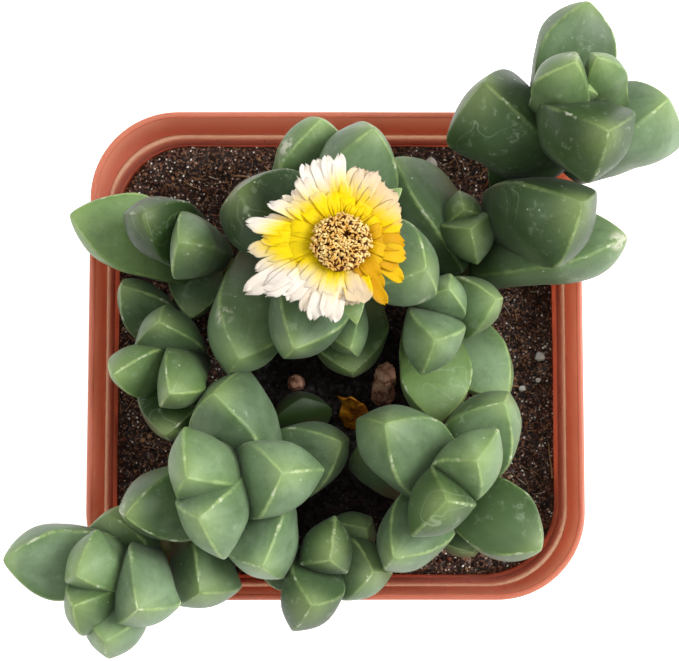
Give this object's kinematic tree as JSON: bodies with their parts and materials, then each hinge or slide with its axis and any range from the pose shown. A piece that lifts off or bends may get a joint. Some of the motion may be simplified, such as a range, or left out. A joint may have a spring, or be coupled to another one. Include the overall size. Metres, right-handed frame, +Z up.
{
  "type": "potted corpuscularia lehmannii",
  "caption": "Square nursery pot of soil with leafy shoots of keeled blue-green succulent leaves and an open daisy-like flower.",
  "frame": {"origin": "centre of the pot's flat underside", "axes": "+Z up out of the pot, +X to the right and +Y away from the viewer as the pot is seen in the picture, so the tall shoot leans to +X +Y"},
  "size_m": [0.1168, 0.1122, 0.127],
  "materials": {
    "pot": "satin",
    "soil": "matte",
    "leaf": "satin",
    "petal": "matte",
    "stamen": "matte",
    "dry_wood": "matte",
    "withered": "matte",
    "perlite": "matte"
  },
  "bodies": {
    "root": {"pot": "pot", "soil": "soil", "shoot_back_right": "leaf", "shoot_flowering": "leaf", "shoot_left_back": "leaf", "shoot_left": "leaf", "shoot_centre": "leaf", "shoot_front_left": "leaf", "shoot_front_right": "leaf", "shoot_right": "leaf", "shoot_front": "leaf", "shoot_low": "leaf", "flower_petals": "petal", "flower_stamens": "stamen", "woody_stem": "dry_wood", "old_stem": "dry_wood", "withered_petal": "withered", "perlite_grain_1": "perlite", "perlite_grain_2": "perlite", "perlite_grain_3": "perlite", "perlite_grain_4": "perlite"}
  },
  "joints": []
}
